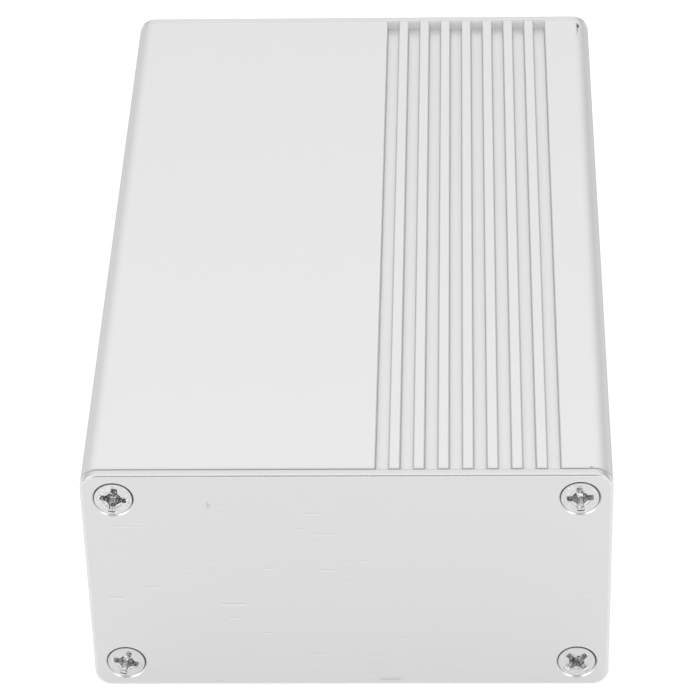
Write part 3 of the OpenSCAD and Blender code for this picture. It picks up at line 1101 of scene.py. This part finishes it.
def screw_rings(settings, way, turn, wear, grime, film, rub):
    """Radius, height and marks at every angle of way, ring by ring from the bottom of the recess over
    the head and down the thread to the tip.

    The thread's radius follows a wave that climbs one pitch in each turn. The burr's height round the
    recess is a mix of waves, which wear shifts so that no two screws are the same. Painted shade lies
    behind the burr on its lower side, which turn gives.
    """
    up = np.sin(way + turn)
    uneven = np.sin(3 * way + wear) * np.sin(7 * way + 2.3 * wear) + 0.6 * np.sin(13 * way - wear)
    torn = np.clip(0.5 + 0.6 * uneven, 0.0, 1.0)
    lower = np.clip(-1.6 * up, 0.0, 1.0)
    wing_ends = np.clip(-5 * up - 4, 0.0, 1.0) * np.clip(2 * np.cos(4 * way) - 0.6, 0.0, 1.0)
    burr = settings.burr * np.maximum(torn, wing_ends)
    # Painted shade behind the burr on its lower side and at the ends of the lower wings.
    dirt = np.maximum(0.5 * torn * lower, wing_ends)
    # Painted shade on the upper side of the head's round.
    shade = grime * np.clip(0.4 * np.sin(way + turn + 0.6), 0.0, 0.3)
    # Painted light: the film is thinned on the lower wing, whose wall faces up into the light.
    film_less_where_lit = film * (1 - 0.6 * np.clip(-5 * up - 3.7, 0.0, 1.0))
    half_length, half_width = settings.recess / 2, settings.recess_wing / 2
    core, depth = settings.recess_core / 2, settings.recess_depth
    lip, burr_width = settings.recess_lip, settings.burr_width
    foot = FOOT_RADIUS * settings.recess_wing
    rings = []

    def ring(radius, height, edge=0.0, recess=0.0, crevice=0.0):
        rings.append([values * np.ones_like(way) for values in (radius, height, edge, recess, crevice)])

    ring(0.0, -depth - settings.recess_tip, recess=film)
    ring(foot / 2, -depth - settings.recess_tip / 2, recess=film)
    ring(foot * 0.97, -depth, recess=film_less_where_lit)
    for down in np.linspace(1.0, lip / depth, WALL_RINGS):
        narrowed = half_length * (1 - WING_TAPER * down), half_width * (1 - SIDE_TAPER * down)
        wall = recess_outline(way, *narrowed, core + (foot - core) * down)
        ring(wall, -depth * down, recess=film_less_where_lit if down > 0.1 else 0.6 * film_less_where_lit)
    brim = recess_outline(way, half_length, half_width, core)
    ring(brim + 0.3 * lip, 0.6 * burr - 0.3 * lip, edge=1.0, recess=0.3)
    for out, high, bright, shaded in BURR_RINGS:
        ring(brim + lip + out * burr_width, high * burr, edge=bright, crevice=shaded * dirt)
    ring(brim + lip + 1.2 * burr_width, 0.0, edge=rub)

    head, soft = settings.head / 2, settings.head_round
    half_thread, half_core = settings.thread / 2, settings.thread_core / 2
    neck = -settings.head_rim - (head - half_thread)
    ring((brim + head) / 2 + burr_width / 2, 0.0, edge=rub)
    ring(head - 1.6 * soft, 0.0, edge=rub)
    for bend in np.linspace(0.0, QUARTER, ROUND_RINGS):
        out, drop = soft * (1 - math.sin(bend)), soft * (1 - math.cos(bend))
        # Painted highlight: the edge value on the lower side of the round paints it brighter; crevice
        # there is painted shade.
        ring(head - out, -drop, edge=0.25 * lower, crevice=shade * (0.5 + 0.5 * math.sin(bend)))
    # Painted shade in the gap under the head and round its neck.
    ring(head, -settings.head_rim, crevice=0.6)
    ring(half_thread, neck, crevice=1.0)

    tip, pitch, cut = -settings.screw_length, settings.thread_pitch, half_thread - half_core
    step = pitch / THREAD_RINGS
    for height in np.arange(neck - step, tip + cut + step / 2, -step):
        wave = 0.5 + 0.5 * np.cos(math.tau * height / pitch - way)
        fade = np.clip(min(neck - height, height - tip - cut) / pitch, 0.0, 1.0)
        ring(half_thread - cut * (1 - wave) * fade, height)
    ring(half_thread, tip + cut)
    ring(half_core, tip)
    ring(0.0, tip)
    return rings


def add_screw(skin, settings, middle, side, top, turn, *look):
    """Adds one screw with its head out on side -1 or 1 of the box: quads between its rings, and
    triangles to a single point at both ends."""
    way = screw_angles()
    radius, height, *marks = np.stack(screw_rings(settings, way, turn, *look), axis=1)
    right, up = middle[0] + radius * np.cos(way + turn), middle[1] + radius * np.sin(way + turn)
    grid = np.stack([-side * right, side * (height + top), up], axis=-1)

    def in_a_row(values):
        """Values of all points, without the repeats in the first and last ring."""
        columns = values.shape[1]
        return np.concatenate(values)[columns - 1:1 - columns]

    marks = {name: in_a_row(values) for name, values in zip(("edge", "recess", "crevice"), marks)}
    numbers = skin.add_points(in_a_row(grid), **marks)
    rings = numbers[1:-1].reshape(len(grid) - 2, -1)
    near, far = rings[0], rings[-1]
    start = np.stack([np.full_like(near, numbers[0]), near, np.roll(near, -1)], axis=1)
    end = np.stack([np.full_like(far, numbers[-1]), np.roll(far, -1), far], axis=1)
    skin.add_faces(quads_between(rings))
    skin.add_faces(np.concatenate([start, end]))


class PROJECTBOX_OT_screws(bpy.types.Operator):
    """Builds the eight countersunk screws with their cross recesses and threads"""

    bl_idname = "projectbox.screws"
    bl_label = "Build Screws"

    def execute(self, context):
        box = context.scene.project_box
        settings = box.screw
        top = box.sleeve.length / 2 + box.panel.thickness - settings.head_sink
        places = screw_places(box.sleeve, box.panel)
        wear = WEAR_SHIFT * np.arange(2 * len(places)).reshape(2, -1)
        front = (settings.front_grime, settings.front_film, settings.front_rub)
        rear = (settings.rear_grime, settings.rear_film, settings.rear_rub)
        skin = Skin()
        for side, turns_here, *looks in (
            (-1, settings.front_turns, wear[0], *front), (1, settings.rear_turns, wear[1], *rear)
        ):
            for middle, turn, *look in zip(places, turns_here, *looks):
                add_screw(skin, settings, middle, side, top, turn, *look)
        piece = skin.build("countersunk_screws", plated_finish(settings))
        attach(piece, "root")
        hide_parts("panel_screws")
        return {"FINISHED"}


# Stage

# Light of the dim middle in front of the box and of its bright sides
DIM, BRIGHT = 0.5, 1.3
FLOOR_ROUGHNESS = 0.9
FLOOR_GAP = 0.05 * MM


def studio_world():
    """Soft light from above and behind the box, and from both sides of a dim middle in front of it."""
    world = bpy.data.worlds.new("studio")
    world.use_nodes = True
    tree = world.node_tree
    way = output(tree, "ShaderNodeTexCoord", name="Generated")
    part = outputs(new_node(tree, "ShaderNodeSeparateXYZ", {0: way}))
    high = part["Z"].ramp(-0.1, 0.8, to_low=0.4, to_high=1.12)
    sky = high * part["X"].ramp(0.3, 0.65, to_low=1.0, to_high=0.74)
    aside = part["X"].math("ABSOLUTE").ramp(0.15, 0.5, DIM, BRIGHT)
    aside = aside.math("MAXIMUM", part["Z"].ramp(0.84, 0.95, DIM, BRIGHT))
    boxes = aside * part["Z"].ramp(-0.1, 0.3, to_low=0.5)
    before = part["Y"].ramp(0.05, -0.4)
    light = output(tree, "ShaderNodeMix", {0: before, 2: sky, 3: boxes})
    wire(tree.nodes["Background"], {"Color": grey(1.0), "Strength": light})
    bpy.context.scene.world = world


def floor_finish(settings):
    """Plain pale floor. Where it is seen or mirrored it is lifted to white, and it keeps the shadow."""
    material = bpy.data.materials.new("studio_floor")
    material.use_nodes = True
    path = outputs(new_node(material.node_tree, "ShaderNodeLightPath"))
    seen = path["Is Camera Ray"].math("MAXIMUM", path["Is Glossy Ray"])
    seen = seen.math("MAXIMUM", path["Is Transmission Ray"])
    wire(material.node_tree.nodes["Principled BSDF"], {
        "Base Color": (*settings.floor_tint, 1.0), "Roughness": FLOOR_ROUGHNESS,
        "Specular IOR Level": 0.0, "Emission Color": grey(1.0),
        "Emission Strength": seen * settings.floor_lift,
    })
    return material


def studio_floor(settings):
    """A square floor just under the box."""
    half, up = settings.floor_size / 2, SLEEVE_LOW.z - FLOOR_GAP
    mesh = bpy.data.meshes.new("studio_floor")
    points = [(-half, -half, up), (half, -half, up), (half, half, up), (-half, half, up)]
    mesh.from_pydata(points, [], [(0, 1, 2, 3)])
    place("studio_floor", mesh, floor_finish(settings))


def studio_camera(settings):
    """Camera at the picture's own place, without shift."""
    lens = bpy.data.cameras.new("picture_camera")
    lens.sensor_width = SENSOR_WIDTH
    lens.lens = settings.focal_pixels * SENSOR_WIDTH / PHOTO_PIXELS
    camera = bpy.data.objects.new("picture_camera", lens)
    camera.matrix_world = (
        Matrix.Translation(settings.camera_place)
        @ Matrix.Rotation(-settings.camera_yaw, 4, "Z")
        @ Matrix.Rotation(QUARTER - settings.camera_drop, 4, "X")
        @ Matrix.Rotation(settings.camera_roll, 4, "Z")
    )
    bpy.context.scene.collection.objects.link(camera)
    bpy.context.scene.camera = camera


class PROJECTBOX_OT_stage(bpy.types.Operator):
    """Sets the floor, the soft light and the camera"""

    bl_idname = "projectbox.stage"
    bl_label = "Set Stage"

    def execute(self, context):
        settings = context.scene.project_box.stage
        studio_world()
        studio_floor(settings)
        studio_camera(settings)
        context.scene.view_settings.view_transform = "Standard"
        return {"FINISHED"}


class PROJECTBOX_PT_sidebar(bpy.types.Panel):
    """Lists the steps that build the box"""

    bl_idname = "PROJECTBOX_PT_sidebar"
    bl_label = "Project Box"
    bl_space_type = "VIEW_3D"
    bl_region_type = "UI"
    bl_category = "Project Box"

    def draw(self, context):
        for step in STEPS:
            self.layout.operator(step.bl_idname)


STEPS = (PROJECTBOX_OT_sleeve, PROJECTBOX_OT_panels, PROJECTBOX_OT_screws, PROJECTBOX_OT_stage)
CLASSES = (
    SleeveSettings, PanelSettings, ScrewSettings, StageSettings, BoxSettings, *STEPS,
    PROJECTBOX_PT_sidebar,
)


def register():
    for kind in CLASSES:
        bpy.utils.register_class(kind)
    bpy.types.Scene.project_box = PointerProperty(
        type=BoxSettings, name="Project box", description="Settings of the project box"
    )


def unregister():
    del bpy.types.Scene.project_box
    for kind in reversed(CLASSES):
        bpy.utils.unregister_class(kind)


def main():
    register()
    bpy.ops.projectbox.sleeve()
    bpy.ops.projectbox.panels()
    bpy.ops.projectbox.screws()
    bpy.ops.projectbox.stage()


if __name__ == "__main__":
    main()
